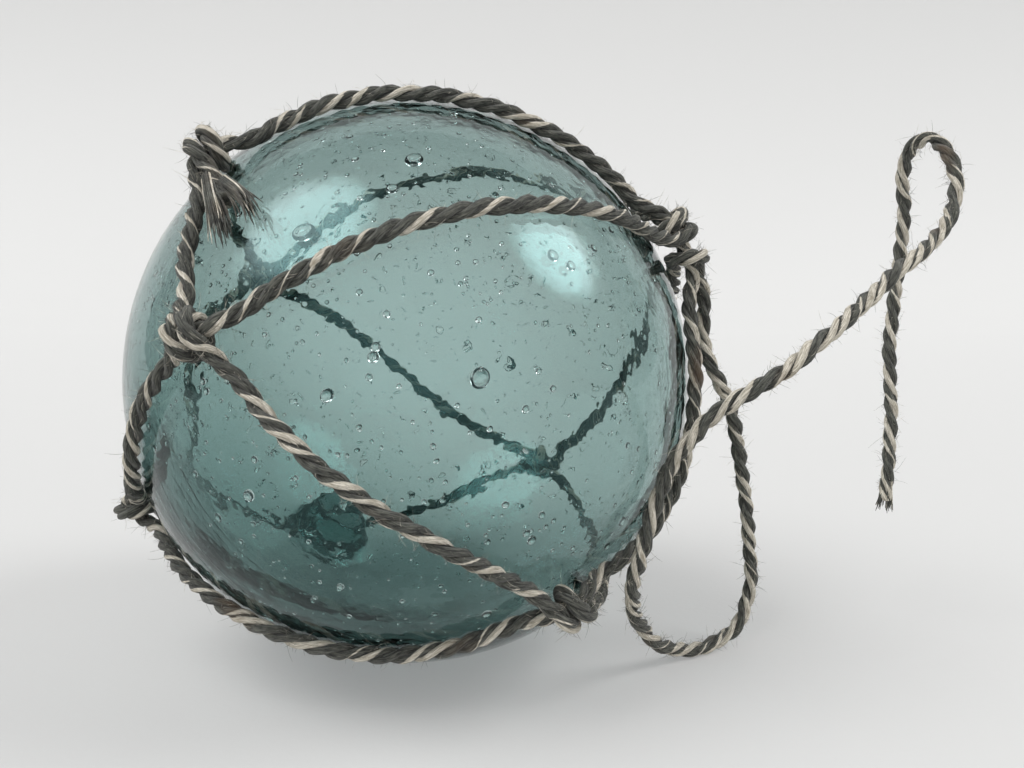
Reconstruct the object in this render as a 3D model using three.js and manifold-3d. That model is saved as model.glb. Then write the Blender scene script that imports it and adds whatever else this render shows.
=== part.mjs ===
// A glass float ball in a net knotted from one length of twine, whose loose end springs from a knot.
// Millimetres, +Z up. The origin is the middle of the small flat spot that the ball rests on, and the
// side that shows is towards -Y.
import * as THREE from "three";
import { mergeVertices } from "three/addons/utils/BufferGeometryUtils.js";
import Module from "manifold-3d";

// The ball: blown glass, closed by a round lump of glass over the blowing hole
const BALL_DIAMETER = 90;
const FLAT_DIAMETER = 12;
const SEAL_DIAMETER = 17;
const SEAL_HEIGHT = 1.2;
const BALL_SIDES = 48;
const SEAL_SIDES = 24;
const SEAL_RINGS = 5;

// The twine, and the room left between it and what it touches
const TWINE_DIAMETER = 2.4;
const CLEARANCE = 0.3;
const NIP = 0.2;
const NET_SIDES = 6;
const TAIL_SIDES = 8;
const LEG_STEP = 4.2;

// The knots: each twine is wound round the one that runs straight through
const WRAP_STEP = 30.5;
const KNOT_SLOPE = 5.5;

const BALL_RADIUS = BALL_DIAMETER / 2;
const BALL_HEIGHT = Math.sqrt(BALL_RADIUS ** 2 - (FLAT_DIAMETER / 2) ** 2);
const PASS = TWINE_DIAMETER + NIP;
const LOW = BALL_RADIUS + CLEARANCE + TWINE_DIAMETER / 2;
const HIGH = LOW + PASS;

const CENTRE = new THREE.Vector3(0, 0, BALL_HEIGHT);
const radians = THREE.MathUtils.degToRad;

// A direction from the ball's centre, as longitude from +X towards +Y and latitude above the middle
function at(longitude, latitude) {
  const [turn, rise] = [radians(longitude), radians(latitude)];
  return new THREE.Vector3(Math.cos(rise) * Math.cos(turn), Math.cos(rise) * Math.sin(turn), Math.sin(rise));
}

const SEAL = at(152.4, -57.6);
const FRAYED_TIP = at(-126, 38);
const KNOTS = {
  topLeft: at(-141.0, 46.0),
  right: at(-9.2, 27.4),
  frontLeft: at(-119.4, 14.4),
  frontLow: at(-53.5, -32.8),
  lowLeft: at(-170.0, -24.0),
  backLow: at(58.0, -30.4),
  backLeft: at(139.0, 18.5),
};

const LEAN = { topLeft: -5, frontLeft: -12 };

// How a twine winds round another: first and last angle, where 0 is beside it, 90 on top, -90 below
const OVER_AND_ACROSS = [10, 530];
const OVER_AND_BACK = [10, 296];
const UNDER_AND_OUT = [-65, -330];

// The twine's whole way, from its frayed end to its loose end. At each knot it runs through, or winds
// round the twine that does. Bow is how far, in degrees, the leg after the knot strays to one side.
const ROUTE = [
  { knot: "topLeft", wind: OVER_AND_ACROSS, shift: 0.3, bow: [-3.5, -0.5] },
  { knot: "backLeft", bow: [-0.5, -2.5] },
  { knot: "backLow", bow: [0, -2] },
  { knot: "frontLow", wind: OVER_AND_ACROSS, bow: [0.5, -1] },
  { knot: "frontLeft", wind: OVER_AND_ACROSS, bow: [0.5, 0.5] },
  { knot: "topLeft", bow: [8, 2.5] },
  { knot: "right", bow: [12, -4] },
  { knot: "frontLow", bow: [-3, 3.5] },
  { knot: "lowLeft", bow: [-4, -2.5] },
  { knot: "frontLeft", bow: [3.5, 0.5] },
  { knot: "right", wind: OVER_AND_ACROSS, shift: -1.15, bow: [-2, -2] },
  { knot: "backLeft", wind: OVER_AND_ACROSS, bow: [2, 2.5] },
  { knot: "lowLeft", wind: OVER_AND_BACK, shift: 0.3, bow: [3, 1.5] },
  { knot: "backLow", wind: OVER_AND_ACROSS, bow: [-5, 1.5] },
  { knot: "right", wind: UNDER_AND_OUT, shift: 1.0, bow: [0, 0] },
];

// Where the twine leaves the net, and the way of its loose end from there: down past the ball, round on
// the surface, up along the ball's flank and over in a springy bend
const NET_EXIT = new THREE.Vector3(46.9, -4.5, 57);
const TAIL = [
  [47, -4.6, 53],
  [47.8, -4.6, 49],
  [50, -4, 45],
  [52.2, -2.8, 40.5],
  [55, -0.4, 29],
  [56.2, 0.2, 22],
  [57, 0.2, 15],
  [56.8, -1.2, 8.5],
  [53.8, -4.2, 3.2],
  [49.5, -6.8, 1.6],
  [45, -9.2, 1.6],
  [40.4, -12.2, 3.6],
  [36.8, -16, 8],
  [34.6, -21, 13.4],
  [34, -25.2, 18.8],
  [35, -27.2, 24.8],
  [36.8, -26, 31],
  [39.2, -26, 37],
  [42.6, -28, 42.4],
  [47, -29.4, 46.6],
  [52.5, -29.3, 49.8],
  [59, -26.5, 54.2],
  [65.7, -22.6, 58.8],
  [72.4, -18, 63.6],
  [79, -13.4, 67.6],
  [83.4, -9.2, 72.2],
  [84.8, -6.7, 76.6],
  [84.2, -4.3, 81.4],
  [83, 0.6, 83.7],
  [82, 5.6, 82],
  [82.5, 8.6, 77.8],
  [83.6, 10.2, 73],
  [84, 11.2, 68],
  [83.6, 12, 58],
  [83.2, 12, 48.5],
  [83.9, 11.6, 39],
  [83.8, 10.7, 30.5],
  [83.2, 9.8, 21.5],
];

// The distance from the ball's centre to the glass in a direction, with the lump that seals it
function glassRadius(direction) {
  const across = direction.angleTo(SEAL) * BALL_RADIUS;
  const rise = THREE.MathUtils.smoothstep(SEAL_DIAMETER / 2 + 2 * TWINE_DIAMETER - across, 0, 2 * TWINE_DIAMETER);
  return BALL_RADIUS + SEAL_HEIGHT * rise;
}

// The direction at a point of the ball that leads along it to another
function towards(from, to) {
  return to.clone().addScaledVector(from, -from.dot(to)).normalize();
}

// A knot's own frame: outward, along the twine that runs through it, and aside
function knotFrame(name) {
  const place = ROUTE.findIndex((stop) => stop.knot === name && !stop.wind);
  const outward = KNOTS[name];
  const ahead = towards(outward, KNOTS[ROUTE[place + 1].knot]);
  const behind = towards(outward, KNOTS[ROUTE[place - 1].knot]);
  const along = ahead.sub(behind).normalize().applyAxisAngle(outward, radians(LEAN[name] ?? 0));
  return { outward, along, aside: outward.clone().cross(along) };
}

// A point near a knot: so far along, so far aside and at a distance from the ball's centre
function nearKnot({ outward, along, aside }, x, y, distance) {
  return outward
    .clone()
    .addScaledVector(along, x / HIGH)
    .addScaledVector(aside, y / HIGH)
    .setLength(distance);
}

// The points of a twine that runs straight through a knot, lifted over what is wound below it
function throughPoints(frame) {
  const reach = frame.outward === KNOTS.right ? 2.1 * PASS : 0.9 * PASS;
  const steps = [-1, -0.5, 0, 0.5, 1];
  return steps.map((share) => nearKnot(frame, share * reach, 0, HIGH));
}

// The points of a twine wound round another, on the side that it comes from, one turn beside the next
function windPoints(frame, stop, before, after) {
  const [first, last] = stop.wind;
  const side = Math.sign(before.dot(frame.aside));
  const sense = before.dot(frame.along) < after.dot(frame.along) ? 1 : -1;
  const count = Math.round(Math.abs(last - first) / WRAP_STEP);
  const points = [];
  for (let i = 0; i <= count; i += 1) {
    const angle = first + ((last - first) * i) / count;
    const x = PASS * ((stop.shift ?? 0) + (sense * (Math.abs(angle - first) - Math.abs(last - first) / 2)) / 330);
    const y = side * PASS * Math.cos(radians(angle));
    points.push(nearKnot(frame, x, y, HIGH + PASS * Math.sin(radians(angle))));
  }
  return points;
}

// The points of a leg between two knots, along the ball, bowed to one side and lifted at its ends
function legPoints(start, end, [bow, skew]) {
  const angle = start.angleTo(end);
  const across = start.clone().cross(end).normalize();
  const count = Math.round((angle * LOW) / LEG_STEP);
  const points = [];
  for (let i = 1; i < count; i += 1) {
    const share = i / count;
    const direction = start
      .clone()
      .setLength(Math.sin((1 - share) * angle))
      .add(end.clone().setLength(Math.sin(share * angle)))
      .normalize();
    const stray = bow * Math.sin(Math.PI * share) + skew * Math.sin(2 * Math.PI * share);
    direction.addScaledVector(across, Math.tan(radians(stray))).normalize();
    const low = glassRadius(direction) + CLEARANCE + TWINE_DIAMETER / 2;
    const lift = Math.max(endLift(start, direction), endLift(end, direction));
    points.push(direction.setLength(low + lift));
  }
  return points;
}

// How far a leg still stands off the glass, near an end that lies over a knot's windings
function endLift(end, direction) {
  const fall = THREE.MathUtils.smoothstep(end.angleTo(direction) * LOW, 0, KNOT_SLOPE);
  return Math.max(0, end.length() - LOW) * (1 - fall);
}

// The whole way of the twine in the net, as points for a smooth curve round the ball's centre
function netPoints() {
  const lastWay = new THREE.Vector3(...TAIL[0]).sub(NET_EXIT).setLength(TWINE_DIAMETER);
  const exit = NET_EXIT.clone().sub(CENTRE);
  const ends = [[FRAYED_TIP.clone().setLength(LOW)], [exit.clone().sub(lastWay), exit]];
  const stops = ROUTE.map((stop, i) => {
    const frame = knotFrame(stop.knot);
    if (!stop.wind) return throughPoints(frame);
    const before = towards(frame.outward, KNOTS[ROUTE[i - 1]?.knot] ?? FRAYED_TIP);
    const after = towards(frame.outward, KNOTS[ROUTE[i + 1]?.knot] ?? ends[1][0]);
    return windPoints(frame, stop, before, after);
  });
  const way = [ends[0], ...stops, ends[1]];
  return way.flatMap((points, i) => {
    if (i + 1 === way.length) return points;
    return [...points, ...legPoints(points.at(-1), way[i + 1][0], ROUTE[i - 1]?.bow ?? [0, 0])];
  });
}

// A smooth curve whose steps end on its own points, so that they lie closest where it turns most
class TwineCurve extends THREE.CatmullRomCurve3 {
  getUtoTmapping(u) {
    return u;
  }
}

// A round length of twine through points, closed at both ends, with a few steps from point to point
function twineGeometry(points, sides, stepsEach) {
  const section = new THREE.Shape();
  section.absarc(0, 0, TWINE_DIAMETER / 2, 0, 2 * Math.PI);
  return new THREE.ExtrudeGeometry(section, {
    steps: stepsEach * (points.length - 1),
    curveSegments: sides / 2,
    bevelEnabled: false,
    extrudePath: new TwineCurve(points, false, "centripetal"),
  });
}

// The loose end's points, a clearance beyond the end of the twine in the net
function tailPoints() {
  const chosen = TAIL.map((place) => new THREE.Vector3(...place));
  const start = chosen[0].clone().sub(NET_EXIT).setLength(CLEARANCE).add(NET_EXIT);
  return [start, ...chosen];
}

// The lump that seals the ball: a low dome of glass that rises from the sphere at its rim
function sealGeometry() {
  const rim = SEAL_DIAMETER / 2;
  const foot = Math.sqrt(BALL_RADIUS ** 2 - rim ** 2);
  const rise = BALL_RADIUS + SEAL_HEIGHT - foot;
  const profile = [new THREE.Vector2(0, foot - rise), new THREE.Vector2(rim, foot - rise)];
  for (let i = 0; i < SEAL_RINGS; i += 1) {
    const turn = (Math.PI / 2) * (i / SEAL_RINGS);
    profile.push(new THREE.Vector2(rim * Math.cos(turn), foot + rise * Math.sin(turn)));
  }
  profile.push(new THREE.Vector2(0, foot + rise));
  const dome = new THREE.LatheGeometry(profile, SEAL_SIDES);
  return dome.applyQuaternion(new THREE.Quaternion().setFromUnitVectors(new THREE.Vector3(0, 1, 0), SEAL));
}

// The ball: a sphere and its sealing lump, cut flat where it rests
function ballGeometry() {
  const sphere = new THREE.SphereGeometry(BALL_RADIUS, BALL_SIDES, BALL_SIDES / 2).rotateX(Math.PI / 2);
  const below = new THREE.BoxGeometry(BALL_DIAMETER, BALL_DIAMETER, BALL_RADIUS);
  below.translate(0, 0, -BALL_HEIGHT - BALL_RADIUS / 2);
  return fromManifold(toManifold(sphere).add(toManifold(sealGeometry())).subtract(toManifold(below)));
}

// A closed geometry as a solid that can be joined and cut, without the flat triangles at its poles
function toManifold(geometry) {
  geometry.deleteAttribute("normal");
  geometry.deleteAttribute("uv");
  const merged = mergeVertices(geometry);
  const triangles = [];
  for (let i = 0; i < merged.index.count; i += 3) {
    const corners = [0, 1, 2].map((k) => merged.index.getX(i + k));
    if (new Set(corners).size === 3) triangles.push(...corners);
  }
  const vertProperties = new Float32Array(merged.attributes.position.array);
  return new wasm.Manifold(new wasm.Mesh({ numProp: 3, vertProperties, triVerts: new Uint32Array(triangles) }));
}

function fromManifold(solid) {
  const { vertProperties, triVerts } = solid.getMesh();
  const geometry = new THREE.BufferGeometry();
  geometry.setAttribute("position", new THREE.BufferAttribute(vertProperties, 3));
  geometry.setIndex(new THREE.BufferAttribute(triVerts, 1));
  geometry.computeVertexNormals();
  return geometry;
}

// Materials: clear teal glass, and dark tarred twine with pale yarns
const glass = new THREE.MeshStandardMaterial({
  color: 0x7fa8a4,
  roughness: 0.08,
  metalness: 0,
  transparent: true,
  opacity: 0.45,
});
const twine = new THREE.MeshStandardMaterial({ color: 0x5f584e, roughness: 0.95, metalness: 0 });

const wasm = await Module();
wasm.setup();
const floatBall = new THREE.Group();

function place(name, geometry, material, position) {
  const mesh = new THREE.Mesh(geometry, material);
  mesh.name = name;
  mesh.position.copy(position);
  floatBall.add(mesh);
}

place("glass_ball", ballGeometry(), glass, CENTRE);
place("twine_net", twineGeometry(netPoints(), NET_SIDES, 1), twine, CENTRE);
place("loose_tail", twineGeometry(tailPoints(), TAIL_SIDES, 2), twine, new THREE.Vector3());

export default floatBall;
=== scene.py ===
import math

import bpy
import numpy as np
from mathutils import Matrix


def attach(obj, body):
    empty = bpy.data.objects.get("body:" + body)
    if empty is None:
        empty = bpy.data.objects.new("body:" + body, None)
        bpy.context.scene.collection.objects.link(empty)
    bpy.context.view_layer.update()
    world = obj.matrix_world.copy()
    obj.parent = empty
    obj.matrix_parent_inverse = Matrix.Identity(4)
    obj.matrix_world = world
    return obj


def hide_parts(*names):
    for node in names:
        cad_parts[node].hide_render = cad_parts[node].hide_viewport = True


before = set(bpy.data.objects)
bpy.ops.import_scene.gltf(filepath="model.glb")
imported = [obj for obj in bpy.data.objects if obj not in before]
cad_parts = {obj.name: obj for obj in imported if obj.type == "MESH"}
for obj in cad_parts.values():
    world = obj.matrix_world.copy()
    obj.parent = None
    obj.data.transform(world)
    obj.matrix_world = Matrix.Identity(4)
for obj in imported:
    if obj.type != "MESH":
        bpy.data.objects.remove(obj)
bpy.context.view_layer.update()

bl_info = {
    "name": "Net Float",
    "version": (1, 0, 0),
    "blender": (4, 5, 0),
    "location": "View3D > Sidebar > Net Float",
    "description": "A blown glass float ball in a net knotted from one length of laid twine",
    "category": "Add Mesh",
}

# Shapes are worked out in millimetres, round the ball's centre, and placed in metres
MM = 0.001
BALL_RADIUS = 45.0
FLAT_RADIUS = 6.0
BALL_HEIGHT = math.sqrt(BALL_RADIUS**2 - FLAT_RADIUS**2)
CENTRE = np.array([0.0, 0.0, BALL_HEIGHT])
SEAL_RADIUS = 8.5
SEAL_HEIGHT = 1.2

# How far inside its edge the seal starts to rise and is at its full height, outside and in the cavity
SEAL_SLOPE = (-2.5, 4.5)
SEAL_INNER_SLOPE = (-0.8, 2.6)

# The twine's middle lies LOW above the glass, and HIGH where it runs over what is wound round it.
# Its points lie LEG_STEP apart on a leg and WRAP_STEP degrees apart round a knot, where it moves one
# PASS along in TURN degrees. A leg comes down from a knot within KNOT_SLOPE.
TWINE_RADIUS = 1.2
PASS = 2.35
LOW = BALL_RADIUS + TWINE_RADIUS + 0.12
HIGH = LOW + PASS
LEG_STEP = 4.2
WRAP_STEP = 30.5
TURN = 330
KNOT_SLOPE = 5.5


def unit(vector):
    return vector / np.linalg.norm(vector)


def unit_rows(rows):
    return rows / np.linalg.norm(rows, axis=1)[:, None]


def at(longitude, latitude):
    """A direction from the ball's centre, as longitude from +X towards +Y and latitude."""
    turn, rise = math.radians(longitude), math.radians(latitude)
    return np.array([math.cos(rise) * math.cos(turn), math.cos(rise) * math.sin(turn), math.sin(rise)])


# The middle of the seal and of the thick side, and the drawn threads' axis and the side that shows them
SEAL = at(152.4, -57.6)
HEAVY_SIDE = at(-150, -52)
THREAD_AXIS = at(-84, 9)
THREAD_SIDE = at(-158, -40)

# The twine's first end and the knots, with how far the twine through a knot turns from its legs' way,
# in degrees, and how far it runs straight there each way, in passes
FRAYED_TIP = at(-126, 38)
KNOTS = {
    "topLeft": at(-141.0, 46.0),
    "right": at(-9.2, 27.4),
    "frontLeft": at(-119.4, 14.4),
    "frontLow": at(-53.5, -32.8),
    "lowLeft": at(-170.0, -24.0),
    "backLow": at(58.0, -30.4),
    "backLeft": at(139.0, 18.5),
}
LEAN = {"topLeft": -5, "frontLeft": -12}
REACH = {"right": 2.1}
SHORT_REACH = 0.9

# How a twine winds round another: first and last angle, where 0 is beside it, 90 on top, -90 below
OVER_AND_ACROSS = (10, 530)
OVER_AND_BACK = (10, 296)
UNDER_AND_OUT = (-65, -330)

# The twine's whole way: the knot, how it winds there, how far along, and how the next leg bows
ROUTE = [
    ("topLeft", OVER_AND_ACROSS, 0.3, (-3.5, -0.5)),
    ("backLeft", None, 0, (-0.5, -2.5)),
    ("backLow", None, 0, (0, -2)),
    ("frontLow", OVER_AND_ACROSS, 0, (0.5, -1)),
    ("frontLeft", OVER_AND_ACROSS, 0, (0.5, 0.5)),
    ("topLeft", None, 0, (8, 2.5)),
    ("right", None, 0, (12, -4)),
    ("frontLow", None, 0, (-3, 3.5)),
    ("lowLeft", None, 0, (-4, -2.5)),
    ("frontLeft", None, 0, (3.5, 0.5)),
    ("right", OVER_AND_ACROSS, -1.15, (-2, -2)),
    ("backLeft", OVER_AND_ACROSS, 0, (2, 2.5)),
    ("lowLeft", OVER_AND_BACK, 0.3, (3, 1.5)),
    ("backLow", OVER_AND_ACROSS, 0, (-5, 1.5)),
    ("right", UNDER_AND_OUT, 1.0, (0, 0)),
]

# Where the twine leaves the net, and the way of its loose end, in metres in the part's frame
NET_EXIT = (0.0469, -0.0045, 0.057)
TAIL = [
    (0.047, -0.0046, 0.053),
    (0.0478, -0.0046, 0.049),
    (0.05, -0.004, 0.045),
    (0.0522, -0.0028, 0.0405),
    (0.055, -0.0004, 0.029),
    (0.0562, 0.0002, 0.022),
    (0.057, 0.0002, 0.015),
    (0.0568, -0.0012, 0.0085),
    (0.0538, -0.0042, 0.0032),
    (0.0495, -0.0068, 0.0016),
    (0.045, -0.0092, 0.0016),
    (0.0404, -0.0122, 0.0036),
    (0.0368, -0.016, 0.008),
    (0.0346, -0.021, 0.0134),
    (0.034, -0.0252, 0.0188),
    (0.035, -0.0272, 0.0248),
    (0.0368, -0.026, 0.031),
    (0.0392, -0.026, 0.037),
    (0.0426, -0.028, 0.0424),
    (0.047, -0.0294, 0.0466),
    (0.0525, -0.0293, 0.0498),
    (0.059, -0.0265, 0.0542),
    (0.0657, -0.0226, 0.0588),
    (0.0724, -0.018, 0.0636),
    (0.079, -0.0134, 0.0676),
    (0.0834, -0.0092, 0.0722),
    (0.0848, -0.0067, 0.0766),
    (0.0842, -0.0043, 0.0814),
    (0.083, 0.0006, 0.0837),
    (0.082, 0.0056, 0.082),
    (0.0825, 0.0086, 0.0778),
    (0.0836, 0.0102, 0.073),
    (0.084, 0.0112, 0.068),
    (0.0836, 0.012, 0.058),
    (0.0832, 0.012, 0.0485),
    (0.0839, 0.0116, 0.039),
    (0.0838, 0.0107, 0.0305),
    (0.0832, 0.0098, 0.0215),
]

# The lay of the twine: three strands, one of them pale and the others in places
LAY_PITCH = 9.2
LAY_RADIUS = 0.63
STRAND_RADIUS = 0.62
RING_STEP = 0.5
RING_POINTS = 12
YARNS = 4
RIB_DEPTH = 0.12

# How the strands wander along the twine, each as an amount and the length over which it changes:
# their way round its middle, the way that they face, and their thickness
TURN_CHANGE = (0.7, 12)
FACE_CHANGE = (1.6, 9)
SWELL_CHANGE = (0.16, 2.6)

# How far round each strand is pale, in radians each way from its crest, how much that changes along
# the twine and over what length, and how much is added on the loose end, from a share of the whole way
STRAND_PALE = (1.35, 0.0, -0.9)
PALE_CHANGE = (2.9, 4.5)
TAIL_PALE = (0.5, 0.75, 0.1)
TAIL_START = (0.8, 0.82)

# Each strand's share of the usual size, and the share of its width that its closed end keeps
STRAND_SIZE = (0.88, 1.06, 1.06)
END_SHARE = 0.05

# The radius of a loose fibre on the twine, of one at the tail's end and of one in the frayed end,
# the least and the greatest length of the first, and how far they stay off the glass and the floor
FUZZ_RADIUS = 0.024
TAIL_FRAY_RADIUS = 0.13
FRAY_RADIUS = 0.14
FUZZ_SHORTEST = 0.35
FUZZ_LONGEST = 2.0
GLASS_GAP = 0.15
FLOOR_GAP = 0.05

# Bundles of the frayed end: longitude, latitude and height of each point above FRAY_LIFT over the
# glass, then yarns, spread and seed
FRAY_LIFT = 1.3
FRAYED_BUNDLES = [
    ([(-134.5, 42.0, 1.4), (-129.5, 38.5, 0.9), (-124.6, 34.6, 0.4), (-120.6, 30.4, 0.0)], 60, 0.75, 5),
    ([(-127.5, 41.0, 1.2), (-122.6, 39.3, 0.6), (-118.8, 37.2, 0.3), (-115.8, 34.5, 0.0)], 36, 0.45, 6),
]

# The height of the waves in the glass, outside and in the cavity, how closely the extra thickness
# gathers round the thick side, and the height in metres under which the ball rests on its flat spot
OUTER_WAVES = 0.12
INNER_WAVES = 0.5
HEAVY_POWER = 1.6
FLOOR_TOUCH = 0.00001

# Points round and up: of the glass outside and inside, and of a small, a middling and a large bubble,
# and the widths from which a bubble is middling and large
OUTER_GRID = (150, 75)
INNER_GRID = (170, 85)
BUBBLE_GRIDS = [(8, 5), (12, 8), (24, 14)]
MIDDLING_WIDTH = 0.85
LARGE_WIDTH = 1.4

# The widths of the bubbles and of the seeds, as the middle and the spread of their logarithm, the
# least and the greatest
BUBBLE_WIDTHS = (-0.66, 0.42, 0.22, 1.6)
SEED_WIDTHS = (-1.0, 0.3, 0.2, 0.7)

# A bubble's depth as a share of its width, and at most of the wall's thickness, and the least glass
# over it, outside and on both sides together
BUBBLE_DEPTH = 0.85
DEPTH_IN_WALL = 0.72
SKIN = 0.15
BOTH_SKINS = 0.3

# The number and the spread of the drifts in which the seeds gather
DRIFTS = 60
DRIFT_SPREAD = 0.32

# Bubbles that stand out: longitude, latitude and width in millimetres
LARGE_BUBBLES = [
    (-73.4, 8.9, 2.5),
    (-105.8, 33.7, 2.6),
    (-83.1, 50.1, 2.4),
    (-88.3, 42.8, 1.6),
    (-90.7, 12.6, 1.5),
    (-98.1, 6.4, 1.7),
    (-56.0, 29.0, 1.7),
    (-52.5, 27.0, 1.5),
    (160.0, -55.0, 2.0),
    (147.0, -55.0, 1.6),
    (154.0, -61.0, 2.2),
]

# The floor, in metres: its front, where it starts to bend up, the bend's radius and steps, the top and
# half the width
FLOOR_FRONT = -1.0
FLOOR_BACK = 0.5
FLOOR_BEND = 0.4
BEND_STEPS = 12
FLOOR_TOP = 1.6
FLOOR_HALF_WIDTH = 1.5

# The picture's camera: its place from the ball's centre, its tilt in degrees, its lens and its sensor
CAMERA_PLACE = (16.4, -163.7, 25.4)
CAMERA_ELEVATION = 9.0
CAMERA_LENS = 35.13
SENSOR_WIDTH = 36.0

# Soft lamps: direction, half angle of the full light and of its faded edge in degrees, and strength
SOFT_LAMPS = [
    ((-0.54, -0.20, 0.82), 13, 25, 5.8),
    ((0.75, -0.01, 0.66), 9, 18, 7.6),
    ((0.05, -0.95, 0.22), 20, 72, 0.9),
]


# The twine's way

def towards(start, end):
    """The direction at a point of the ball that leads along it to another."""
    return unit(end - start * start.dot(end))


def smoothstep(value, low, high):
    share = np.clip((value - low) / (high - low), 0, 1)
    return share * share * (3 - 2 * share)


def knot_frame(name):
    """A knot's own frame: outward, along the twine that runs through it, and aside."""
    place = next(i for i, stop in enumerate(ROUTE) if stop[0] == name and not stop[1])
    outward = KNOTS[name]
    ahead = towards(outward, KNOTS[ROUTE[place + 1][0]])
    behind = towards(outward, KNOTS[ROUTE[place - 1][0]])
    along = unit(ahead - behind)
    lean = math.radians(LEAN.get(name, 0))
    along = along * math.cos(lean) + np.cross(outward, along) * math.sin(lean)
    return outward, along, np.cross(outward, along)


def near_knot(knot, x, y, distance):
    outward, along, aside = knot
    return unit(outward + along * x / HIGH + aside * y / HIGH) * distance


def through_points(name, knot):
    reach = REACH.get(name, SHORT_REACH) * PASS
    return [near_knot(knot, share * reach, 0, HIGH) for share in (-1, -0.5, 0, 0.5, 1)]


def wind_points(knot, wind, shift, before, after):
    """The points of a twine wound round another, one turn beside the next."""
    first, last = wind
    _, along, aside = knot
    side = np.sign(before.dot(aside))
    sense = 1 if before.dot(along) < after.dot(along) else -1
    count = round(abs(last - first) / WRAP_STEP)
    points = []
    for i in range(count + 1):
        angle = first + (last - first) * i / count
        x = PASS * (shift + sense * (abs(angle - first) - abs(last - first) / 2) / TURN)
        y = side * PASS * math.cos(math.radians(angle))
        points.append(near_knot(knot, x, y, HIGH + PASS * math.sin(math.radians(angle))))
    return points


def seal_rise(directions):
    """How far the lump that seals the ball stands up, for directions from the centre."""
    across = np.arccos(np.clip(directions @ SEAL, -1, 1)) * BALL_RADIUS
    return SEAL_HEIGHT * smoothstep(SEAL_RADIUS - across, *SEAL_SLOPE)


def end_lift(end, direction):
    apart = math.acos(np.clip(unit(end).dot(direction), -1, 1)) * LOW
    return max(0.0, np.linalg.norm(end) - LOW) * (1 - smoothstep(apart, 0, KNOT_SLOPE))


def leg_points(start, end, bow):
    """The points of a leg between two knots, along the ball, bowed and lifted at its ends."""
    angle = math.acos(np.clip(unit(start).dot(unit(end)), -1, 1))
    across = unit(np.cross(start, end))
    count = round(angle * LOW / LEG_STEP)
    points = []
    for i in range(1, count):
        share = i / count
        direction = unit(unit(start) * math.sin((1 - share) * angle) + unit(end) * math.sin(share * angle))
        stray = bow[0] * math.sin(math.pi * share) + bow[1] * math.sin(2 * math.pi * share)
        direction = unit(direction + across * math.tan(math.radians(stray)))
        lift = max(end_lift(start, direction), end_lift(end, direction))
        points.append(direction * (LOW + seal_rise(direction) + lift))
    return points


def net_points():
    exit_point = np.array(NET_EXIT) / MM - CENTRE
    last_way = unit(np.array(TAIL[0]) / MM - np.array(NET_EXIT) / MM) * 2 * TWINE_RADIUS
    way = [[FRAYED_TIP * LOW]]
    for i, (name, wind, shift, _) in enumerate(ROUTE):
        knot = knot_frame(name)
        if not wind:
            way.append(through_points(name, knot))
            continue
        previous = KNOTS[ROUTE[i - 1][0]] if i else FRAYED_TIP
        following = KNOTS[ROUTE[i + 1][0]] if i + 1 < len(ROUTE) else exit_point
        before, after = towards(knot[0], previous), towards(knot[0], following)
        way.append(wind_points(knot, wind, shift, before, after))
    way.append([exit_point - last_way, exit_point])
    points = []
    for i, stretch in enumerate(way):
        points += stretch
        if i + 1 < len(way):
            bow = ROUTE[i - 1][3] if i else (0, 0)
            points += leg_points(stretch[-1], way[i + 1][0], bow)
    return np.array(points)


def smooth_curve(points, steps):
    """A centripetal curve through points, as points at even steps of each stretch."""
    ends = [2 * points[0] - points[1], *points, 2 * points[-1] - points[-2]]
    p0, p1, p2, p3 = (np.array(ends[k : len(ends) - 3 + k]) for k in range(4))
    gap = [np.sqrt(np.linalg.norm(b - a, axis=1))[:, None] for a, b in ((p0, p1), (p1, p2), (p2, p3))]
    leave = ((p1 - p0) / gap[0] - (p2 - p0) / (gap[0] + gap[1]) + (p2 - p1) / gap[1]) * gap[1]
    arrive = ((p2 - p1) / gap[1] - (p3 - p1) / (gap[1] + gap[2]) + (p3 - p2) / gap[2]) * gap[1]
    t = (np.arange(steps) / steps)[None, :, None]
    c1, c2 = leave[:, None], (-3 * p1 + 3 * p2 - 2 * leave - arrive)[:, None]
    c3 = (2 * p1 - 2 * p2 + leave + arrive)[:, None]
    fine = p1[:, None] + c1 * t + c2 * t**2 + c3 * t**3
    return np.vstack([fine.reshape(-1, 3), points[-1]])


def lengths_along(points):
    return np.concatenate([[0], np.cumsum(np.linalg.norm(np.diff(points, axis=0), axis=1))])


def even_steps(points, step):
    way = lengths_along(points)
    even = np.linspace(0, way[-1], max(2, round(way[-1] / step)) + 1)
    return np.stack([np.interp(even, way, points[:, k]) for k in range(3)], axis=1)


def carried_frames(points):
    """Tangents and two cross directions that are carried along a curve without twisting."""
    tangents = np.gradient(points, axis=0)
    tangents /= np.linalg.norm(tangents, axis=1)[:, None]
    normal = unit(np.cross(tangents[0], [0.3, 0.5, 0.8]))
    normals = []
    for tangent in tangents:
        normal = unit(normal - tangent * normal.dot(tangent))
        normals.append(normal)
    normals = np.array(normals)
    return tangents, normals, np.cross(tangents, normals)


# Meshes

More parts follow.
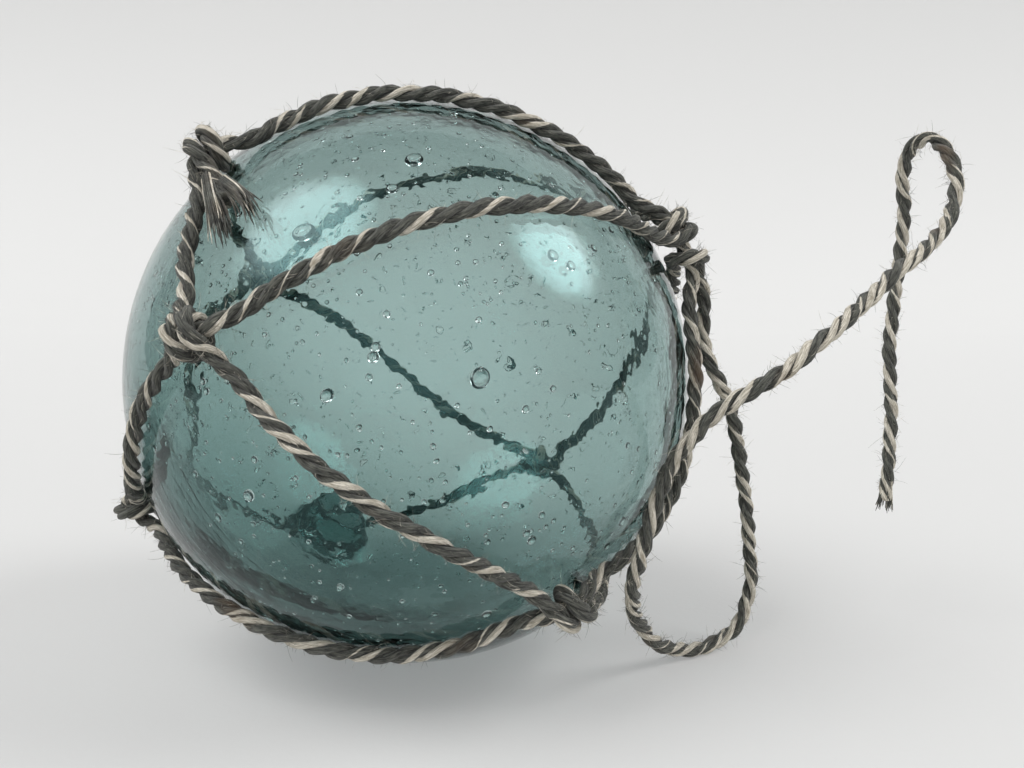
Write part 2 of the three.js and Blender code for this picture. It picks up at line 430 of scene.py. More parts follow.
def make_piece(name, vertices, faces, attributes=None, origin=CENTRE):
    """A smooth mesh object from points in millimetres round an origin, the ball's centre by default."""
    mesh = bpy.data.meshes.new(name)
    mesh.from_pydata(((vertices + origin) * MM).tolist(), [], faces.tolist())
    mesh.validate()
    for title, values in (attributes or {}).items():
        kind = "FLOAT" if values.ndim == 1 else "FLOAT_VECTOR"
        layer = mesh.attributes.new(title, kind, "POINT")
        layer.data.foreach_set("value" if values.ndim == 1 else "vector", values.ravel().astype(np.float32))
    mesh.polygons.foreach_set("use_smooth", [True] * len(mesh.polygons))
    piece = bpy.data.objects.new(name, mesh)
    bpy.context.scene.collection.objects.link(piece)
    return piece


def tube_faces(rings, sides, first=0):
    """The quads of a tube of rings, whose points are numbered ring by ring."""
    ring = np.arange(rings - 1)[:, None] * sides
    side = np.arange(sides)[None, :]
    following = (side + 1) % sides
    corners = [ring + side, ring + following, ring + sides + following, ring + sides + side]
    return np.stack(np.broadcast_arrays(*corners), axis=-1).reshape(-1, 4) + first


class Soup:
    """Gathers points, faces and point attributes of many small forms for one mesh."""

    def __init__(self):
        self.points, self.faces, self.pale, self.lay = [], [], [], []
        self.count = 0

    def add(self, points, faces, pale, lay):
        self.points.append(points)
        self.faces.append(faces + self.count)
        self.pale.append(np.broadcast_to(pale, len(points)))
        self.lay.append(lay)
        self.count += len(points)

    def piece(self, name):
        attributes = {"pale": np.concatenate(self.pale), "lay": np.vstack(self.lay)}
        return make_piece(name, np.vstack(self.points), np.vstack(self.faces), attributes)


def slow_noise(way, period, seed):
    """A smooth random value from 0 to 1 along a length."""
    generator = np.random.default_rng(seed)
    knots = np.arange(0, way[-1] + 2 * period, period)
    return np.interp(way, knots, generator.random(len(knots)))


def wander(way, change, seed):
    """A smooth random value either side of zero, from its amount and the length that it changes over."""
    amount, period = change
    return amount * (slow_noise(way, period, seed) - 0.5)


def lay_twine(points, first, last, seed):
    """Three strands laid round a centreline, from one of its steps to another, ribbed by their yarns."""
    soup = Soup()
    way = lengths_along(points)
    _, normals, asides = carried_frames(points)
    share = way / way[-1]
    rib = 2 * math.pi * np.arange(RING_POINTS) / RING_POINTS
    from_pale = np.abs((rib + math.pi) % (2 * math.pi) - math.pi)
    for strand in range(3):
        turn = -2 * math.pi * way / LAY_PITCH + 2 * math.pi * strand / 3
        turn += wander(way, TURN_CHANGE, seed + strand)
        centre = points + LAY_RADIUS * (np.cos(turn)[:, None] * normals + np.sin(turn)[:, None] * asides)
        face = turn + wander(way, FACE_CHANGE, seed + 10 + strand)
        angle = face[:, None] + rib[None, :]
        swell = 1 + wander(way, SWELL_CHANGE, seed + 20 + strand)[:, None]
        ribs = 1 - RIB_DEPTH + RIB_DEPTH * np.abs(np.cos(YARNS / 2 * rib))
        radius = STRAND_RADIUS * STRAND_SIZE[strand] * swell * ribs[None, :]
        cross = np.cos(angle)[..., None] * normals[:, None] + np.sin(angle)[..., None] * asides[:, None]
        ring = centre[:, None] + radius[..., None] * cross
        width = STRAND_PALE[strand] + wander(way, PALE_CHANGE, seed + 30 + strand)
        width = width + TAIL_PALE[strand] * smoothstep(share, *TAIL_START)
        pale = smoothstep(width[:, None] - from_pale[None, :], -0.15, 0.2)
        lay = np.stack(np.broadcast_arrays(
            way[:, None] + 200 * strand,
            STRAND_RADIUS * np.cos(angle),
            STRAND_RADIUS * np.sin(angle),
        ), axis=-1)
        rings, middle = ring[first:last], centre[first:last, None]
        closed = np.concatenate([
            middle[:1] + END_SHARE * (rings[:1] - middle[:1]), rings,
            middle[-1:] + END_SHARE * (rings[-1:] - middle[-1:]),
        ])
        keep = np.clip(np.arange(first - 1, last + 1), first, last - 1)
        soup.add(closed.reshape(-1, 3), tube_faces(len(closed), RING_POINTS),
                 pale[keep].ravel(), lay[keep].reshape(-1, 3))
    return soup


def add_fibres(soup, curves, radius, pale, sides=3):
    """Thin fibres along curves, given as (fibre, point, xyz), tapered to their ends."""
    many, long = curves.shape[:2]
    tangents = np.gradient(curves, axis=1)
    tangents /= np.linalg.norm(tangents, axis=2)[..., None]
    helper = np.cross(tangents, np.array([0.31, 0.52, 0.79]))
    helper /= np.linalg.norm(helper, axis=2)[..., None]
    other = np.cross(tangents, helper)
    taper = np.sqrt(1 - 0.9 * np.linspace(0, 1, long) ** 3)
    angle = 2 * math.pi * np.arange(sides) / sides
    cross = helper[:, :, None] * np.cos(angle)[:, None] + other[:, :, None] * np.sin(angle)[:, None]
    rings = curves[:, :, None] + cross * (radius * taper)[None, :, None, None]
    faces = np.concatenate([tube_faces(long, sides, i * long * sides) for i in range(many)])
    way = np.broadcast_to(np.linspace(0, 5, long)[None, :, None], (many, long, sides))
    lay = np.stack([way, way * 0, way * 0], axis=-1).reshape(-1, 3)
    soup.add(rings.reshape(-1, 3), faces, np.repeat(pale, long * sides), lay)


def add_fuzz(soup, points, per_mm, seed):
    """Loose fibre ends that stand off the twine all along, thickest on the knots."""
    generator = np.random.default_rng(seed)
    way = lengths_along(points)
    tangents, normals, asides = carried_frames(points)
    many = round(way[-1] * per_mm)
    weight = 1 + 1.4 * (np.linalg.norm(points, axis=1) > LOW + 0.8)
    weight *= 0.4 + 1.2 * slow_noise(way, 5, seed + 1)
    weight[:2] = weight[-2:] = 0
    place = generator.choice(len(points), many, p=weight / weight.sum())
    angle = generator.uniform(0, 2 * math.pi, many)[:, None]
    outward = np.cos(angle) * normals[place] + np.sin(angle) * asides[place]
    start = points[place] + outward * (TWINE_RADIUS - 0.3)
    length = np.minimum(generator.gamma(1.8, 0.42, many)[:, None] + FUZZ_SHORTEST, FUZZ_LONGEST)
    lean = generator.normal(0, 1.5, many)[:, None]
    curl = generator.normal(0, 0.4, (many, 3))
    share = np.linspace(0, 1, 5)
    heading = outward + lean * tangents[place]
    heading /= np.linalg.norm(heading, axis=1)[:, None]
    curves = start[:, None] + (heading * length)[:, None] * share[None, :, None]
    curves = curves + (curl * length)[:, None] * (share**2)[None, :, None]
    curves[..., 2] = np.maximum(curves[..., 2], -BALL_HEIGHT + FLOOR_GAP)
    apart = np.linalg.norm(curves, axis=2)
    curves *= (np.maximum(apart, BALL_RADIUS + GLASS_GAP) / apart)[..., None]
    add_fibres(soup, curves, FUZZ_RADIUS, generator.uniform(0.0, 0.8, many))


def add_tuft(soup, spine, many, spread, radius, seed, pale_share=0.12):
    """A bundle of yarns and fibres that frays from the first point of a spine to its last."""
    generator = np.random.default_rng(seed)
    line = even_steps(smooth_curve(np.array(spine), 8), lengths_along(np.array(spine))[-1] / 9)
    _, normals, asides = carried_frames(line)
    share = np.linspace(0, 1, len(line))
    reach = generator.uniform(0.72, 1.0, many)
    angle = generator.uniform(0, 2 * math.pi, many)
    off = np.sqrt(generator.uniform(0, 1, many))
    width = 0.95 + spread * share**1.5
    bend = generator.normal(0, 0.35, (many, 2))
    curves = []
    for i in range(many):
        steps = np.linspace(0, reach[i], len(line))
        own = np.stack([np.interp(steps, share, line[:, k]) for k in range(3)], 1)
        x = off[i] * width * math.cos(angle[i]) + bend[i, 0] * share**2
        y = off[i] * width * math.sin(angle[i]) + bend[i, 1] * share**2
        curves.append(own + x[:, None] * normals + y[:, None] * asides)
    curves = np.array(curves)
    apart = np.linalg.norm(curves, axis=2)
    curves *= (np.maximum(apart, BALL_RADIUS + GLASS_GAP) / apart)[..., None]
    pale = (generator.uniform(0, 1, many) < pale_share) * 0.9
    add_fibres(soup, curves, radius, pale, sides=4)


# Materials

def linear(colour):
    """A colour written as an sRGB hex value, as Blender's linear red, green, blue and alpha."""
    parts = [int(colour[i : i + 2], 16) / 255 for i in (1, 3, 5)]
    return (*[p / 12.92 if p <= 0.04045 else ((p + 0.055) / 1.055) ** 2.4 for p in parts], 1.0)


def add_node(tree, kind, values=None, links=None, **settings):
    """Adds a node with its settings, its sockets' values and the links that lead to it."""
    node = tree.nodes.new(kind)
    for title, value in settings.items():
        setattr(node, title, value)
    for socket, value in (values or {}).items():
        node.inputs[socket].default_value = value
    for socket, source in (links or {}).items():
        tree.links.new(source, node.inputs[socket])
    return node


def new_material(name):
    material = bpy.data.materials.new(name)
    material.use_nodes = True
    material.node_tree.nodes.clear()
    return material, material.node_tree


def glass_values(settings):
    """Soda-lime glass as the fire left it: clear and quite smooth, with gleams tinted like its depth."""
    return {
        "Base Color": linear(settings.surface_tint),
        "Specular Tint": linear(settings.gleam_tint),
        "Roughness": 0.0,
        "IOR": 1.5,
        "Transmission Weight": 1.0,
    }


def blown_soda_glass(settings):
    """Soda-lime glass, blown: fire-polished and clear, tinted by iron where it is thick."""
    material, tree = new_material("blown_soda_glass")
    place = add_node(tree, "ShaderNodeTexCoord")
    # Waves left by blowing, about 20 mm long, with dimples of about 4 mm
    waves = add_node(tree, "ShaderNodeTexNoise", {
        "Scale": 50, "Detail": 1.0, "Roughness": 0.4, "Distortion": 0.6,
    }, {"Vector": place.outputs["Object"]})
    dimples = add_node(tree, "ShaderNodeTexNoise", {"Scale": 250, "Detail": 2.0, "Roughness": 0.5},
                       {"Vector": place.outputs["Object"]})
    # Drawn threads in the glass, 1 mm apart and less, on the side where it sagged
    middle = add_node(tree, "ShaderNodeVectorMath", {1: (0, 0, -BALL_HEIGHT * MM)},
                      {0: place.outputs["Object"]}, operation="ADD")
    across = add_node(tree, "ShaderNodeVectorMath", {1: THREAD_AXIS.tolist()},
                      {0: middle.outputs[0]}, operation="DOT_PRODUCT")
    sagged = add_node(tree, "ShaderNodeVectorMath", {1: THREAD_SIDE.tolist()},
                      {0: middle.outputs[0]}, operation="DOT_PRODUCT")
    threads = add_node(tree, "ShaderNodeTexNoise", {"Scale": 1100, "Detail": 2.0, "Roughness": 0.7},
                       {"W": across.outputs["Value"]}, noise_dimensions="1D")
    fine = add_node(tree, "ShaderNodeMapRange", {"From Min": 0.56, "From Max": 0.72},
                    {"Value": threads.outputs["Fac"]})
    side = add_node(tree, "ShaderNodeMapRange", {"From Min": 0.035, "From Max": 0.043},
                    {"Value": sagged.outputs["Value"]})
    drawn = add_node(tree, "ShaderNodeMath", links={0: fine.outputs["Result"], 1: side.outputs["Result"]},
                     operation="MULTIPLY")
    wavy = add_node(tree, "ShaderNodeBump", {"Strength": 0.4, "Distance": 0.0008},
                    {"Height": waves.outputs["Fac"]})
    dimpled = add_node(tree, "ShaderNodeBump", {"Strength": 0.35, "Distance": 0.0002},
                       {"Height": dimples.outputs["Fac"], "Normal": wavy.outputs["Normal"]})
    bump = add_node(tree, "ShaderNodeBump", {"Strength": 0.14, "Distance": 0.0002},
                    {"Height": drawn.outputs[0], "Normal": dimpled.outputs["Normal"]})
    shader = add_node(tree, "ShaderNodeBsdfPrincipled", glass_values(settings),
                      {"Normal": bump.outputs["Normal"]})
    tint = add_node(tree, "ShaderNodeVolumeAbsorption", {
        "Color": linear(settings.depth_tint),
        "Density": settings.depth_density,
    })
    add_node(tree, "ShaderNodeOutputMaterial", links={
        "Surface": shader.outputs["BSDF"], "Volume": tint.outputs["Volume"]})
    return material


def bubble_in_glass(settings):
    """The same glass where it borders a fine bubble, without the tint in depth that the ball has."""
    material, tree = new_material("bubble_in_glass")
    shader = add_node(tree, "ShaderNodeBsdfPrincipled", glass_values(settings))
    add_node(tree, "ShaderNodeOutputMaterial", links={"Surface": shader.outputs["BSDF"]})
    return material


def tarred_laid_twine(settings):
    """Cotton and hemp yarns, tarred and laid: matt, fibrous, dark with a pale strand, rusty in places, with
    painted shade in the fibres' hollows and painted light on their ridges.
    """
    material, tree = new_material("tarred_laid_twine")
    place = add_node(tree, "ShaderNodeTexCoord")
    pale = add_node(tree, "ShaderNodeAttribute", attribute_name="pale")
    lay = add_node(tree, "ShaderNodeAttribute", attribute_name="lay")
    # Fibres about 0.2 mm apart across the yarn and 1.5 mm long, coarser than real ones so that they show
    stretch = add_node(tree, "ShaderNodeMapping", {"Scale": (0.4, 3.2, 3.2)},
                       {"Vector": lay.outputs["Vector"]})
    fibres = add_node(tree, "ShaderNodeTexNoise", {"Scale": 1.6, "Detail": 4.0, "Roughness": 0.75},
                      {"Vector": stretch.outputs["Vector"]})
    grime = add_node(tree, "ShaderNodeTexNoise", {"Scale": 420, "Detail": 3.0, "Roughness": 0.6},
                     {"Vector": place.outputs["Object"]})
    patches = add_node(tree, "ShaderNodeTexNoise", {"Scale": 70, "Detail": 2.0},
                       {"Vector": place.outputs["Object"]})
    edge = add_node(tree, "ShaderNodeMath", {1: 0.55}, {0: fibres.outputs["Fac"]}, operation="SUBTRACT")
    frayed = add_node(tree, "ShaderNodeMath", {1: 0.9}, {0: edge.outputs[0]}, operation="MULTIPLY")
    worn = add_node(tree, "ShaderNodeMath", links={0: frayed.outputs[0], 1: grime.outputs["Fac"]},
                    operation="ADD")
    spread = add_node(tree, "ShaderNodeMath", {1: 0.5}, {0: worn.outputs[0]}, operation="SUBTRACT")
    share = add_node(tree, "ShaderNodeMath", links={0: pale.outputs["Fac"], 1: spread.outputs[0]},
                     operation="ADD")
    crisp = add_node(tree, "ShaderNodeMapRange", {"From Min": 0.3, "From Max": 0.62},
                     {"Value": share.outputs[0]})
    # Each yarn goes from its low to its high colour with the fibre noise that also bumps it: its own fibre
    # tone, with painted shade in the hollows and painted light on the ridges
    fibre_tone_and_shade = add_node(tree, "ShaderNodeMapRange", {"From Min": 0.4, "From Max": 0.66},
                      {"Value": fibres.outputs["Fac"]})
    dark = add_node(tree, "ShaderNodeMix", {6: linear(settings.dark_low), 7: linear(settings.dark_high)},
                    {0: fibre_tone_and_shade.outputs["Result"]}, data_type="RGBA")
    light = add_node(tree, "ShaderNodeMix", {6: linear(settings.pale_low), 7: linear(settings.pale_high)},
                     {0: fibre_tone_and_shade.outputs["Result"]}, data_type="RGBA")
    both = add_node(tree, "ShaderNodeMix", links={
        0: crisp.outputs["Result"], 6: dark.outputs[2], 7: light.outputs[2],
    }, data_type="RGBA")
    rust = add_node(tree, "ShaderNodeMapRange", {"From Min": 0.6, "From Max": 0.78, "To Max": 0.55},
                    {"Value": patches.outputs["Fac"]})
    stained = add_node(tree, "ShaderNodeMix", {7: linear(settings.stain)}, {
        0: rust.outputs["Result"], 6: both.outputs[2],
    }, data_type="RGBA")
    bump = add_node(tree, "ShaderNodeBump", {"Strength": 1.0, "Distance": 0.0003},
                    {"Height": fibres.outputs["Fac"]})
    shader = add_node(tree, "ShaderNodeBsdfPrincipled", {
        "Roughness": 0.85, "Sheen Weight": 0.15, "Sheen Roughness": 0.5,
    }, {"Base Color": stained.outputs[2], "Normal": bump.outputs["Normal"]})
    add_node(tree, "ShaderNodeOutputMaterial", links={"Surface": shader.outputs["BSDF"]})
    return material


def opal_board(settings):
    """White opal board, lit faintly from behind: matt, with a faint grain."""
    material, tree = new_material("opal_board")
    place = add_node(tree, "ShaderNodeTexCoord")
    grain = add_node(tree, "ShaderNodeTexNoise", {"Scale": 900, "Detail": 3.0},
                     {"Vector": place.outputs["Object"]})
    bump = add_node(tree, "ShaderNodeBump", {"Strength": 0.15, "Distance": 0.0002},
                    {"Height": grain.outputs["Fac"]})
    shader = add_node(tree, "ShaderNodeBsdfPrincipled", {
        "Base Color": linear(settings.floor_colour), "Roughness": 0.7,
        "Emission Color": linear(settings.world_colour), "Emission Strength": settings.floor_glow,
    }, {"Normal": bump.outputs["Normal"]})
    add_node(tree, "ShaderNodeOutputMaterial", links={"Surface": shader.outputs["BSDF"]})
    return material


def soft_surroundings(settings):
    """A dim studio with broad, soft-edged lamps, as light from all round."""
    world = bpy.data.worlds.new("soft_surroundings")
    world.use_nodes = True
    tree = world.node_tree
    tree.nodes.clear()
    place = add_node(tree, "ShaderNodeTexCoord")
    total = None
    for direction, inner, outer, strength in SOFT_LAMPS:
        facing = add_node(tree, "ShaderNodeVectorMath", {1: unit(np.array(direction)).tolist()},
                          {0: place.outputs["Generated"]}, operation="DOT_PRODUCT")
        glow = add_node(tree, "ShaderNodeMapRange", {
            "From Min": math.cos(math.radians(outer)), "From Max": math.cos(math.radians(inner)),
            "To Max": strength * settings.lamp_strength,
        }, {"Value": facing.outputs["Value"]}, interpolation_type="SMOOTHSTEP")
        if total is None:
            total = add_node(tree, "ShaderNodeMath", {1: settings.world_strength},
                             {0: glow.outputs["Result"]})
        else:
            total = add_node(tree, "ShaderNodeMath", links={0: glow.outputs["Result"], 1: total.outputs[0]})
    even = add_node(tree, "ShaderNodeBackground", {"Color": linear(settings.world_colour)},
                    {"Strength": total.outputs[0]})
    add_node(tree, "ShaderNodeOutputWorld", links={"Surface": even.outputs[0]})
    return world


# Settings

def colour(name, description, default):
    description += ", as an sRGB hex value"
    return bpy.props.StringProperty(name=name, description=description, default=default)


def millimetres(name, description, default, least):
    description += ", in millimetres"
    return bpy.props.FloatProperty(name=name, description=description, default=default, min=least)


class BallSettings(bpy.types.PropertyGroup):
    """Sizes and tints of the glass."""

    wall: millimetres("Wall", "Thickness of the glass at the middle", 2.7, 1)
    heavy_wall: millimetres("Heavy wall", "Extra thickness where the glass sagged", 3.0, 0)
    seal_wall: millimetres("Seal", "Depth of the sealing lump inside the wall", 7.5, 0)
    bubbles: bpy.props.IntProperty(
        name="Bubbles", description="Number of small bubbles in the wall", default=1700, min=0)
    seeds: bpy.props.IntProperty(
        name="Seeds", description="Number of the finest bubbles in the wall", default=2700, min=1)
    surface_tint: colour("Surface tint", "Tint of what passes the surface", "#FAFEFD")
    gleam_tint: colour("Gleam tint", "Tint of what the surface reflects", "#A6DADB")
    depth_tint: colour("Depth tint", "Tint that grows with thickness", "#529E9A")
    depth_density: bpy.props.FloatProperty(
        name="Depth density", description="How strongly thickness tints, for each metre", default=191, min=0)


class TwineSettings(bpy.types.PropertyGroup):
    """Colours and fuzz of the twine."""

    # Each low colour is the yarn's tone with painted shade in the fibres' hollows, and each high colour its
    # tone with painted light on their ridges
    dark_low: colour("Dark yarn, low", "Tarred yarn in its hollows", "#10120F")
    dark_high: colour("Dark yarn, high", "Tarred yarn on its ridges", "#6B6C62")
    # The pale yarn's low and high colours are likewise painted shade in the hollows and painted light on the
    # ridges, not dirt and cleanness
    pale_low: colour("Pale yarn, low", "Pale yarn where it is dirty", "#99917F")
    pale_high: colour("Pale yarn, high", "Pale yarn where it is clean", "#F0EADC")
    stain: colour("Stain", "Rusty stain", "#6B5138")
    fuzz: bpy.props.FloatProperty(
        name="Fuzz", description="Loose fibres for each millimetre of twine", default=6.4, min=0)


class StageSettings(bpy.types.PropertyGroup):
    """Floor and light."""

    floor_colour: colour("Floor", "Colour of the floor", "#ABABA9")
    floor_glow: bpy.props.FloatProperty(
        name="Floor glow", description="How brightly the floor is lit from behind", default=0.22, min=0)
    world_colour: colour("Surroundings", "Colour of the light", "#FEFEFF")
    world_strength: bpy.props.FloatProperty(
        name="Even light", description="Strength of the light from all round", default=0.27, min=0)
    lamp_strength: bpy.props.FloatProperty(
        name="Lamps", description="Strength of all the lamps together", default=1.0, min=0)


# Operators

class CameraOperator(bpy.types.Operator):
    """Set the camera where the picture was taken."""

    bl_idname = "netfloat.camera"
    bl_label = "Camera"

    def execute(self, context):
        data = bpy.data.cameras.new("picture_camera")
        data.lens = CAMERA_LENS
        data.sensor_width = SENSOR_WIDTH
        data.clip_start = 0.005
        camera = bpy.data.objects.new("picture_camera", data)
        camera.location = (np.array(CAMERA_PLACE) + CENTRE) * MM
        camera.rotation_euler = (math.radians(90 - CAMERA_ELEVATION), 0, 0)
        context.scene.collection.objects.link(camera)
        context.scene.camera = camera
        return {"FINISHED"}


class MaterialOperator(bpy.types.Operator):
    """Mix the twine's material, which its pieces share."""

    bl_idname = "netfloat.twine_material"
    bl_label = "Twine material"

    def execute(self, context):
        tarred_laid_twine(context.scene.netfloat_twine)
        return {"FINISHED"}


def twine_line():
    """The middle of the whole twine at even steps, and the step at which it leaves the net."""
    chosen = np.vstack([net_points(), np.array(TAIL) / MM - CENTRE])
    line = even_steps(smooth_curve(chosen, 10), RING_STEP)
    leave = np.linalg.norm(line - (np.array(NET_EXIT) / MM - CENTRE), axis=1).argmin()
    return line, int(leave)


class TailOperator(bpy.types.Operator):
    """Lay the twine's loose end."""

    bl_idname = "netfloat.tail"
    bl_label = "Loose end"

    def execute(self, context):
        whole, leave = twine_line()
        line = whole[leave:]
        tail = lay_twine(whole, leave, len(whole), seed=100).piece("loose_tail_laid")
        tail.data.materials.append(bpy.data.materials["tarred_laid_twine"])
        fuzz = Soup()
        add_fuzz(fuzz, line, context.scene.netfloat_twine.fuzz, seed=71)
        way = unit(line[-1] - line[-4])
        add_tuft(fuzz, [line[-8], line[-1], line[-1] + way * 2.2], many=34, spread=0.7,
                 radius=TAIL_FRAY_RADIUS, seed=72)
        hairs = fuzz.piece("loose_tail_fibres")
        hairs.data.materials.append(bpy.data.materials["tarred_laid_twine"])
        for piece in (tail, hairs):
            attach(piece, "root")
        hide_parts("loose_tail")
        return {"FINISHED"}


class NetOperator(bpy.types.Operator):
    """Knot the net from its one length of twine."""

    bl_idname = "netfloat.net"
    bl_label = "Net"

    def execute(self, context):
        whole, leave = twine_line()
        line = whole[: leave + 1]
        net = lay_twine(whole, 0, leave + 1, seed=100).piece("twine_net_laid")
        fuzz = Soup()
        add_fuzz(fuzz, line, context.scene.netfloat_twine.fuzz, seed=11)
        hairs = fuzz.piece("twine_net_fuzz")
        for piece in (net, hairs):
            piece.data.materials.append(bpy.data.materials["tarred_laid_twine"])
            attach(piece, "root")
        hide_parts("twine_net")
        return {"FINISHED"}


class TuftOperator(bpy.types.Operator):
    """Fray the twine's first end, below the top left knot."""

    bl_idname = "netfloat.tuft"
    bl_label = "Frayed end"

    def execute(self, context):
        soup = Soup()
        low = BALL_RADIUS + FRAY_LIFT
        for spine, many, spread, seed in FRAYED_BUNDLES:
            line = [at(longitude, latitude) * (low + lift) for longitude, latitude, lift in spine]
            add_tuft(soup, line, many, spread, FRAY_RADIUS, seed=seed, pale_share=0.14)
        tuft = soup.piece("frayed_end")
        tuft.data.materials.append(bpy.data.materials["tarred_laid_twine"])
        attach(tuft, "root")
        return {"FINISHED"}


def sphere_directions(around, up):
    """Directions over a ball, ring by ring, with a single point at each pole."""
    turn = 2 * math.pi * np.arange(around) / around
    rise = math.pi * np.arange(1, up) / up - math.pi / 2
    ring = np.stack(np.broadcast_arrays(
        np.cos(rise)[:, None] * np.cos(turn), np.cos(rise)[:, None] * np.sin(turn), np.sin(rise)[:, None],
    ), axis=-1).reshape(-1, 3)
    return np.vstack([[0, 0, -1], ring, [0, 0, 1]])


def sphere_triangles(around, up):
    """The triangles over those directions, seen from outside."""
    quads = tube_faces(up - 1, around, 1)
    triangles = [quads[:, [0, 1, 2]], quads[:, [0, 2, 3]]]
    side = np.arange(around)
    following = (side + 1) % around
    top = 1 + (up - 1) * around
    last = 1 + (up - 2) * around
    triangles.append(np.stack([0 * side, 1 + following, 1 + side], 1))
    triangles.append(np.stack([0 * side + top, last + side, last + following], 1))
    return np.vstack(triangles)


def uneven(directions, seed, size):
    """Gentle waves over the ball, as blown glass has."""
    generator = np.random.default_rng(seed)
    total = np.zeros(len(directions))
    for _ in range(7):
        wave = unit(generator.normal(size=3)) * generator.uniform(2.0, 5.0)
        total += np.sin(directions @ wave + generator.uniform(0, 2 * math.pi))
    return size * total / 7


def outer_radius(directions):
    radius = BALL_RADIUS + uneven(directions, 3, OUTER_WAVES) + seal_rise(directions)
    down = np.maximum(-directions[:, 2], 1e-3)
    return np.minimum(radius, BALL_HEIGHT / down)


def inner_radius(directions, settings):
    heavy = np.clip(directions @ HEAVY_SIDE, 0, 1) ** HEAVY_POWER
    wall = settings.wall + settings.heavy_wall * heavy + uneven(directions, 4, INNER_WAVES)
    across = np.arccos(np.clip(directions @ SEAL, -1, 1)) * BALL_RADIUS
    wall = wall + settings.seal_wall * smoothstep(SEAL_RADIUS - across, *SEAL_INNER_SLOPE)
    return BALL_RADIUS - wall


def random_widths(generator, kind, many):
    middle, spread, least, greatest = kind
    return np.clip(generator.lognormal(middle, spread, many), least, greatest)


def bubble_forms(spots, widths, settings, generator):
    """Bubbles in the wall, drawn out along it from the seal, with their faces turned inward."""
    grades = [(sphere_directions(*grid), sphere_triangles(*grid)[:, ::-1]) for grid in BUBBLE_GRIDS]
    walls = BALL_RADIUS - inner_radius(spots, settings)
    forms = []
    for spot, width, wall in zip(spots, widths, walls):
        ball, faces = grades[int(width > MIDDLING_WIDTH) + int(width > LARGE_WIDTH)]
        depth = min(BUBBLE_DEPTH * width, DEPTH_IN_WALL * wall)
        room = wall - depth - BOTH_SKINS
        middle = BALL_RADIUS - SKIN - depth / 2 - room * generator.uniform(0.1, 0.9)
        across = unit(np.cross(spot, SEAL + generator.normal(0, 0.35, 3)))
        along = np.cross(spot, across)
        longer = generator.uniform(0.95, 1.25)
        shape = (ball[:, :1] * along * width * longer + ball[:, 1:2] * across * width) / 2
        forms.append((spot * middle + shape + ball[:, 2:] * spot * depth / 2, faces))
    return forms


def joined(forms):
    """The points and faces of several forms, as those of one."""
    firsts = np.cumsum([0] + [len(points) for points, _ in forms[:-1]])
    faces = [faces + first for first, (_, faces) in zip(firsts, forms)]
    return np.vstack([points for points, _ in forms]), np.vstack(faces)


class BallOperator(bpy.types.Operator):
    """Blow the glass ball, with its cavity, seal, bubbles and seeds."""

    bl_idname = "netfloat.ball"
    bl_label = "Glass ball"

    def execute(self, context):
        settings = context.scene.netfloat_ball
        outer, inner = sphere_directions(*OUTER_GRID), sphere_directions(*INNER_GRID)
        forms = [
            (outer * outer_radius(outer)[:, None], sphere_triangles(*OUTER_GRID)),
            (inner * inner_radius(inner, settings)[:, None], sphere_triangles(*INNER_GRID)[:, ::-1]),
        ]
        generator = np.random.default_rng(21)
        spots = unit_rows(generator.normal(size=(settings.bubbles, 3)))
        widths = random_widths(generator, BUBBLE_WIDTHS, settings.bubbles)
        spots = np.vstack([spots, [at(lon, lat) for lon, lat, _ in LARGE_BUBBLES]])
        widths = np.concatenate([widths, [width for _, _, width in LARGE_BUBBLES]])
        forms += bubble_forms(spots, widths, settings, generator)
        piece = make_piece("glass_ball_blown", *joined(forms))
        # The flat spot that the ball rests on stays flat in its shading
        curved = [p.center.z >= FLOOR_TOUCH for p in piece.data.polygons]
        piece.data.polygons.foreach_set("use_smooth", curved)
        piece.data.materials.append(blown_soda_glass(settings))
        # Seeds, the finest bubbles, which gather in drifts
        drifts = unit_rows(generator.normal(size=(DRIFTS, 3)))
        drifts = drifts[generator.integers(0, DRIFTS, settings.seeds)]
        spots = unit_rows(drifts + generator.normal(0, DRIFT_SPREAD, (settings.seeds, 3)))
        widths = random_widths(generator, SEED_WIDTHS, settings.seeds)
        seeds = make_piece("glass_ball_seeds", *joined(bubble_forms(spots, widths, settings, generator)))
        seeds.data.materials.append(bubble_in_glass(settings))
        for each in (piece, seeds):
            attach(each, "root")
        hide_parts("glass_ball")
        return {"FINISHED"}


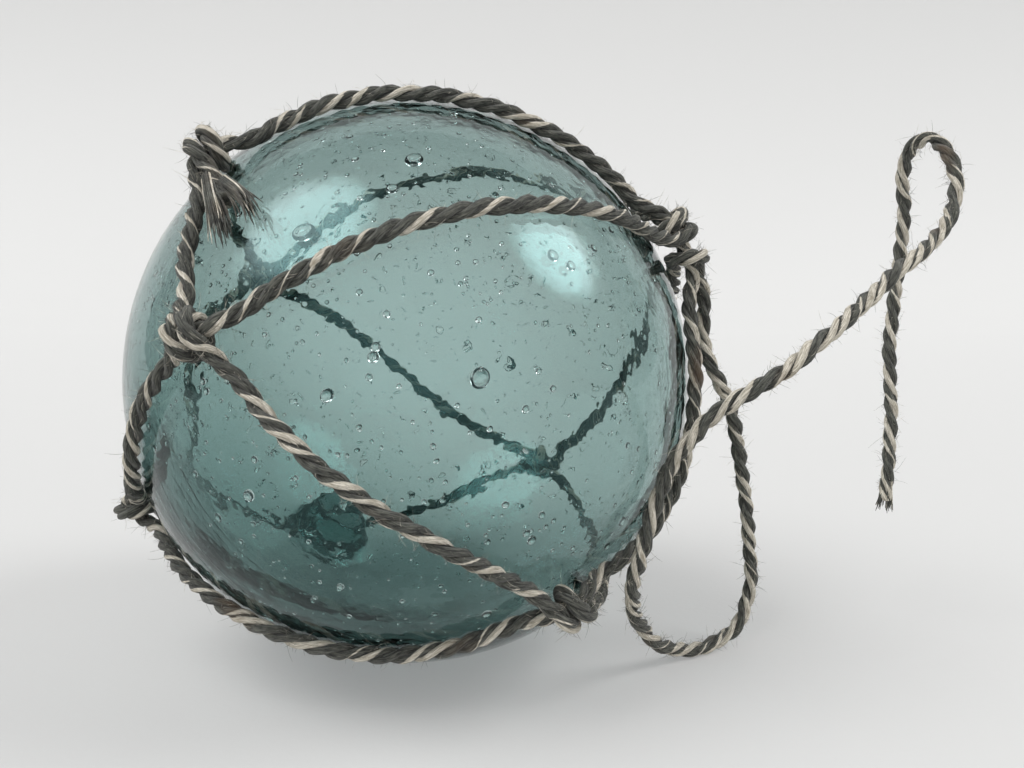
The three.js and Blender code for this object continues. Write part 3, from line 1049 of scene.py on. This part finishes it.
class StageOperator(bpy.types.Operator):
    """Set up the plain floor and the soft studio light."""

    bl_idname = "netfloat.stage"
    bl_label = "Stage"

    def execute(self, context):
        settings = context.scene.netfloat_stage
        rows = [(FLOOR_FRONT, 0.0), (FLOOR_BACK, 0.0)]
        for i in range(1, BEND_STEPS + 1):
            turn = math.radians(90 * i / BEND_STEPS)
            rows.append((FLOOR_BACK + FLOOR_BEND * math.sin(turn), FLOOR_BEND - FLOOR_BEND * math.cos(turn)))
        rows.append((FLOOR_BACK + FLOOR_BEND, FLOOR_TOP))
        sides = (-FLOOR_HALF_WIDTH, FLOOR_HALF_WIDTH)
        points = np.array([(x, y, z) for y, z in rows for x in sides]) / MM
        faces = np.array([(2 * i, 2 * i + 1, 2 * i + 3, 2 * i + 2) for i in range(len(rows) - 1)])
        floor = make_piece("floor", points, faces, origin=np.zeros(3))
        floor.data.materials.append(opal_board(settings))
        context.scene.world = soft_surroundings(settings)
        context.scene.view_settings.view_transform = "Standard"
        return {"FINISHED"}


class NetFloatPanel(bpy.types.Panel):
    """Lists the float's steps and settings."""

    bl_label = "Net Float"
    bl_idname = "VIEW3D_PT_netfloat"
    bl_space_type = "VIEW_3D"
    bl_region_type = "UI"
    bl_category = "Net Float"

    def draw(self, context):
        for step in STEPS:
            self.layout.operator(step.bl_idname)
        for title in GROUPS:
            group = getattr(context.scene, title)
            for name in group.__annotations__:
                self.layout.prop(group, name)


GROUPS = {"netfloat_ball": BallSettings, "netfloat_twine": TwineSettings, "netfloat_stage": StageSettings}
STEPS = [
    CameraOperator, MaterialOperator, TailOperator, NetOperator, TuftOperator, BallOperator,
    StageOperator,
]


def register():
    for item in (*GROUPS.values(), *STEPS, NetFloatPanel):
        bpy.utils.register_class(item)
    for title, group in GROUPS.items():
        setattr(bpy.types.Scene, title, bpy.props.PointerProperty(type=group))


def unregister():
    for title in GROUPS:
        delattr(bpy.types.Scene, title)
    for item in (NetFloatPanel, *reversed(STEPS), *reversed(GROUPS.values())):
        bpy.utils.unregister_class(item)


def main():
    register()
    bpy.ops.netfloat.camera()
    bpy.ops.netfloat.twine_material()
    bpy.ops.netfloat.tail()
    bpy.ops.netfloat.net()
    bpy.ops.netfloat.tuft()
    bpy.ops.netfloat.ball()
    bpy.ops.netfloat.stage()


if __name__ == "__main__":
    main()
